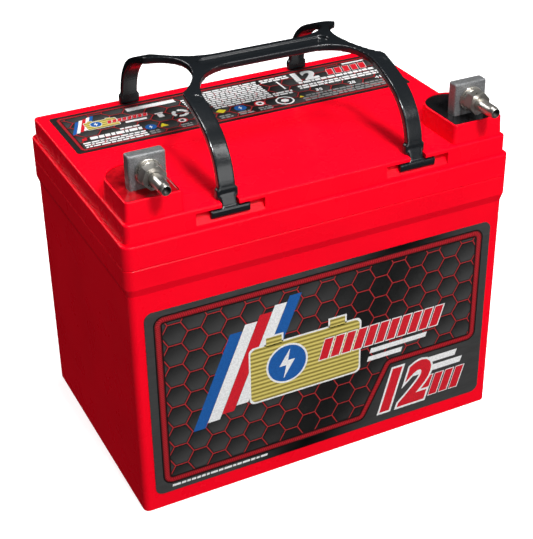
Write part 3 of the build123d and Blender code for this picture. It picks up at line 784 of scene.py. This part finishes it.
# (across at its foot, slope, half width, height of its foot)
FRONT_STREAK = (-0.011, 0.52, 0.046, 0.010)
TOP_STREAK = (0.0, 0.6, 0.02, 0.012)
paint(gunmetal_film("front_gunmetal", "Z", FRONT_STREAK, 0.032, 0.056), "front_label")
paint(gunmetal_film("top_gunmetal", "Y", TOP_STREAK, 0.008, 0.020), "top_label")

INKS = {
    "ink_white": (0.80, 0.80, 0.80, 1.0),
    "ink_red": (0.62, 0.010, 0.022, 1.0),
    "ink_blue": (0.010, 0.10, 0.36, 1.0),
    "ink_yellow": (0.72, 0.60, 0.02, 1.0),
    "ink_black": (0.006, 0.006, 0.006, 1.0),
    "ink_grey": (0.22, 0.22, 0.22, 1.0),
}
inks = {name: ink(name, color) for name, color in INKS.items()}
white, red, blue = inks["ink_white"], inks["ink_red"], inks["ink_blue"]
yellow, black, pale = inks["ink_yellow"], inks["ink_black"], inks["ink_grey"]
gold = gold_ribs()


def outline_mm(points):
    return [(a * MM, u * MM) for a, u in points]


def bolt_sign(art, material, across, up, size, lift):
    """A plain lightning bolt, size high."""
    points = [(0.10, 0.50), (-0.26, -0.06), (-0.03, -0.06), (-0.12, -0.50), (0.26, 0.10), (0.03, 0.10)]
    art.add(material, [(across + x * size, up + y * size) for x, y in points], lift)


def battery_sign(art, left, low, width, height, lift):
    """A ribbed gold battery outline with two posts, edged in white."""
    right, high = left + width, low + height
    post = 0.14 * width
    for grow, material, level in ((0.03 * height, white, lift), (0.0, gold, lift + 1)):
        corners = [(left - grow, low - grow), (right + grow, low - grow),
                   (right + grow, high + grow), (left - grow, high + grow)]
        art.add(material, rounded_path(corners, 0.1 * height), level)
        for start in (left + 0.14 * width, left + 0.72 * width):
            foot, top = high - 0.02 * height, low + 1.14 * height + grow
            art.bar(material, start - grow, foot, start + post + grow, top, level)


def emblem(art, across, up, scale):
    """Generic badge: a fan of slanted bars, a battery, and a disc with a lightning bolt."""
    size = scale * MM
    lift = 2
    for k, color in enumerate((blue, white, red, white, blue)):
        left = across + (-34.0 + 7.4 * k) * size
        low = up + (-27.0 + 2.5 * k) * size
        high = up + (21.0 + 3.0 * k) * size
        art.bar(color, left, low, left + 6.2 * size, high, lift, slant=0.42)
    battery_sign(art, across - 4.0 * size, up - 21.0 * size, 58.0 * size, 30.0 * size, lift + 1)
    centre = (across + 15.0 * size, up - 4.0 * size)
    art.disc(white, *centre, 11.0 * size, lift + 4)
    art.disc(blue, *centre, 10.0 * size, lift + 5)
    bolt_sign(art, white, *centre, 16.0 * size, lift + 6)


def gauge(art, left, low, width, height, count, lift, slant=0.3, edge=0.5 * MM):
    """A row of slanted red blocks with white edges, like a charge gauge."""
    pitch = width / count
    for k in range(count):
        start = left + k * pitch
        end = start + 0.74 * pitch
        art.bar(white, start - edge, low - edge, end + edge, low + height + edge, lift, slant)
        art.bar(red, start, low, end, low + height, lift + 1, slant)


def front_artwork():
    """Badge, charge gauges and numerals. Every size is in mm, from the middle of the label's foot."""
    art = Sheet("front_art", front_place)
    emblem(art, *mm(-36.0, 66.0), 1.0)
    gauge(art, *mm(-4.0, 58.0, 68.0, 11.0), 11, 9)
    art.bar(white, *mm(24.0, 52.9, 56.0, 55.6), 3, slant=0.3)
    art.bar(white, *mm(22.7, 48.4, 42.0, 51.1), 3, slant=0.3)
    for weight, color, level in ((0.075, white, 5), (0.04, red, 6)):
        art.digits(color, "12", *mm(32.5, 15.6, 22.5), level, lean=0.3, weight=weight, stretch=0.95)
    art.bar(white, *mm(50.5, 35.9, 74.5, 39.4), 3, slant=0.35)
    art.bar(white, *mm(50.0, 30.6, 78.0, 34.1), 3, slant=0.35)
    gauge(art, *mm(53.5, 15.6, 25.0, 12.4), 4, 3, edge=0.4 * MM)
    art.words(white, *mm(-82.0, 11.0, -31.0, 12.6), 1, 4, fill=0.75)
    art.finish([white, red, blue, gold])


def band(name, corners, round_by, width, to_frame, comb):
    """Black edging with ribbed cord along it, laid round a field of honeycomb."""
    path = rounded_path(outline_mm(corners), round_by)
    flat, bulge = mm(0.020, 0.020), mm(0.030, 0.08, 0.11, 0.08, 0.030)
    ribbon(f"{name}_band_edge", path, 1.45 * width, flat, to_frame, black)
    ribbon(f"{name}_band", path, width, bulge, to_frame, rope)
    field = Sheet(f"{name}_field", to_frame)
    field.add(comb, path, 1)
    field.finish([comb])


def top_artwork():
    """Small badge, plain signs, bars that stand for print, and numerals. Every size is in mm."""
    art = Sheet("top_art", top_place)
    emblem(art, *mm(-75.5, 40.0), 0.28)
    art.bar(white, *mm(-52.5, 45.8, -26.8, 49.4), 3)
    gauge(art, *mm(-66.0, 37.0, 21.0, 3.2), 8, 9, edge=0.15 * MM)
    art.bar(white, *mm(-58.0, 33.7, -47.0, 35.6), 3, slant=0.3)
    art.bar(white, *mm(-41.7, 36.6, -37.4, 37.6), 3)
    art.bar(white, *mm(-41.0, 32.2, -38.2, 36.2), 3)
    for turn in range(3):
        art.ring(white, *mm(-30.1, 32.3, 4.3, 1.9), 3, start=2.1 * turn, sweep=1.7, sides=10)
    art.words(white, *mm(-24.5, 31.0, -18.0, 47.0), 7, 2)
    art.words(white, *mm(-79.3, 23.6, -53.2, 26.8), 1, 3, fill=0.9)
    art.words(white, *mm(-63.0, 27.8, -53.2, 29.8), 1, 5, fill=0.7)
    art.words(white, *mm(-84.0, 16.0, -52.8, 22.6), 3, 6, fill=0.6)
    art.bar(red, *mm(-83.4, 24.0, -81.0, 26.4), 3, slant=0.3)
    art.disc(blue, *mm(-48.9, 23.9, 2.8), 3)
    bolt_sign(art, white, *mm(-48.9, 23.9, 3.8), 4)
    art.add(yellow, outline_mm([(-44.8, 21.6), (-40.4, 21.6), (-42.6, 25.4)]), 3)
    for across, up, radius, width in ((-32.6, 23.9, 2.7, 0.7), (9.3, 24.2, 3.0, 0.8)):
        art.disc(white, *mm(across, up, radius), 3)
        art.ring(red, *mm(across, up, radius, width), 4)
        art.bar(black, *mm(across - 0.9, up - 0.9, across + 0.9, up + 0.9), 4)
    captions = ((-51.5, -46.5), (-35.5, -29.5), (-26.0, -22.0), (-15.0, -8.6), (-5.0, 2.6), (6.0, 13.0))
    for left, right in captions:
        art.words(pale, *mm(left, 16.4, right, 20.6), 2, left)
    art.add(yellow, outline_mm([(-14.4, 24.7), (-11.6, 22.2), (-8.8, 24.7), (-11.6, 27.2)]), 3)
    art.disc(blue, *mm(-1.6, 23.9, 3.1), 3)
    bolt_sign(art, white, *mm(-1.6, 23.9, 4.2), 4)
    art.ring(white, *mm(22.0, 21.6, 4.8, 0.9), 3)
    art.disc(white, *mm(22.0, 21.6, 2.2), 3, sides=6)
    art.add(yellow, outline_mm([(30.2, 21.2), (32.8, 21.2), (31.5, 23.3)]), 3)
    art.words(white, *mm(-13.0, 28.4, 19.0, 50.9), 10, 7, fill=0.66)
    art.words(white, *mm(21.0, 46.4, 37.0, 50.9), 2, 8, fill=0.66)
    art.words(white, *mm(20.0, 28.4, 31.0, 33.0), 2, 9, fill=0.66)
    art.bar(white, *mm(28.4, 34.5, 29.4, 45.0), 3)
    art.digits(white, "12", *mm(39.0, 40.2, 10.0), 3, lean=0.1, weight=0.05, stretch=1.1)
    gauge(art, *mm(57.0, 40.4, 24.0, 7.0), 5, 3, edge=0.2 * MM)
    art.bar(white, *mm(70.0, 49.2, 83.0, 50.6), 5, slant=0.3)
    art.words(white, *mm(38.0, 36.6, 83.0, 39.4), 1, 10, fill=0.85)
    art.words(white, *mm(35.5, 30.6, 83.0, 35.6), 2, 11, fill=0.7)
    for number, across in (("35", 41.6), ("28", 60.6), ("41", 76.6)):
        art.digits(white, number, *mm(across, 24.6, 2.9), 3, lean=0.2, weight=0.02)
    art.words(pale, *mm(31.0, 16.2, 82.0, 21.0), 2, 12, fill=0.7)
    art.words(pale, *mm(34.0, 21.4, 82.0, 23.6), 1, 13, fill=0.7)
    art.finish([white, red, blue, gold, yellow, black, pale])


rope = rope_band()
front_comb = label_film("front_honeycomb", "Z", mm(-76.6, 95.5), mm(11.1, 11.2), 0.026, FRONT_STREAK)
top_comb = label_film("top_honeycomb", "Y", mm(-68.0, 45.5), mm(10.9, 9.1), 0.028, TOP_STREAK)
FRONT_BAND = [(-84.2, 104.75), (84.0, 104.75), (84.0, 44.4), (35.0, 44.4), (20.4, 15.25), (-84.2, 15.25)]
TOP_BAND = [(-86.2, 52.5), (87.0, 52.5), (87.0, 14.4), (-86.2, 14.4)]
front_artwork()
band("front", FRONT_BAND, 3.0 * MM, 2.9 * MM, front_place, front_comb)
top_artwork()
band("top", TOP_BAND, 1.6 * MM, 1.7 * MM, top_place, top_comb)


# ---------------------------------------------------------------- studio
MIDDLE = (0.0, 0.0, 0.12)
# name: (place, what it looks at, width, height, power)
LIGHTS = {
    "key": ((0.05, -0.80, 1.20), MIDDLE, 0.26, 0.26, 15.5),
    "overhead": ((0.06, 0.02, 1.30), MIDDLE, 0.30, 0.30, 5.5),
    "front_fill": ((0.30, -1.50, 0.30), MIDDLE, 0.80, 0.80, 5.0),
    "back_panel": ((-0.42, 0.95, 0.85), MIDDLE, 0.45, 0.45, 4.0),
    "right_strip": ((1.10, -0.75, 0.35), MIDDLE, 0.16, 0.9, 1.6),
    "front_strip": ((0.52, -0.95, 0.98), MIDDLE, 0.16, 0.5, 2.0),
    "rear_fill": ((0.90, 1.10, 0.08), (0.0, 0.0, 0.08), 1.40, 0.14, 6.5),
}


def area_light(name, place_at, look_at, width, height, power):
    light = bpy.data.lights.new(name, "AREA")
    light.energy = power
    light.shape = "RECTANGLE"
    light.size = width
    light.size_y = height
    lamp = bpy.data.objects.new(name, light)
    lamp.location = place_at
    lamp.rotation_euler = (Vector(look_at) - Vector(place_at)).to_track_quat("-Z", "Y").to_euler()
    bpy.context.scene.collection.objects.link(lamp)
    return lamp


def studio():
    """Pale floor and backdrop, dim even surroundings, and soft lights in front, above and behind."""
    world = bpy.data.worlds.new("studio_air")
    bpy.context.scene.world = world
    world.use_nodes = True
    air = world.node_tree.nodes["Background"].inputs
    air["Color"].default_value = grey(1.0)
    air["Strength"].default_value = 0.27
    world.cycles_visibility.glossy = False
    lamps = {name: area_light(name, *settings) for name, settings in LIGHTS.items()}
    lamps["rear_fill"].visible_glossy = False
    floor_material, tree, shader = start_material("pale_floor", Roughness=0.9, Specular_IOR_Level=0.1)
    shade = noise_at(tree, place(tree), 3.0, 2.0)
    drive(tree, shader, mix(tree, shade, grey(0.90), grey(0.93)))
    shader.inputs["Emission Color"].default_value = grey(1.0)
    shader.inputs["Emission Strength"].default_value = 0.66
    reach, height, sunk, sides = 6.0, 7.0, 0.01, 48
    rim = [(reach * cos(2 * pi * k / sides), reach * sin(2 * pi * k / sides)) for k in range(sides)]
    walls = [[k, (k + 1) % sides, sides + (k + 1) % sides, sides + k] for k in range(sides)]
    shapes = {
        "floor": ([(x, y, 0.0) for x, y in rim], [list(range(sides))]),
        "backdrop": ([(x, y, z) for z in (-sunk, height) for x, y in rim], walls),
    }
    for name, (vertices, faces) in shapes.items():
        mesh = bpy.data.meshes.new(name)
        mesh.from_pydata(vertices, [], faces)
        mesh.materials.append(floor_material)
        sheet = bpy.data.objects.new(name, mesh)
        bpy.context.scene.collection.objects.link(sheet)
        sheet.visible_glossy = False
        sheet.visible_diffuse = False
        sheet.visible_shadow = name == "floor"
    bpy.context.scene.view_settings.view_transform = "Standard"


def camera():
    """The photographer stands to the front left, looking 30 degrees down with a long lens."""
    azimuth, elevation, roll = radians(-26.05), radians(29.78), radians(-0.875)
    distance = 0.637
    target = Vector((0.0, 0.0, 0.0913))
    back = Vector((sin(azimuth) * cos(elevation), -cos(azimuth) * cos(elevation), sin(elevation)))
    data = bpy.data.cameras.new("camera")
    data.sensor_width = 36.0
    data.lens = 84.6
    data.shift_y = -0.0557
    data.clip_start = 0.01
    data.clip_end = 50.0
    eye = bpy.data.objects.new("camera", data)
    eye.rotation_mode = "QUATERNION"
    level = (-back).to_track_quat("-Z", "Y")
    eye.rotation_quaternion = level @ Matrix.Rotation(roll, 3, "Z").to_quaternion()
    eye.location = target + back * distance
    bpy.context.scene.collection.objects.link(eye)
    bpy.context.scene.camera = eye


studio()
camera()
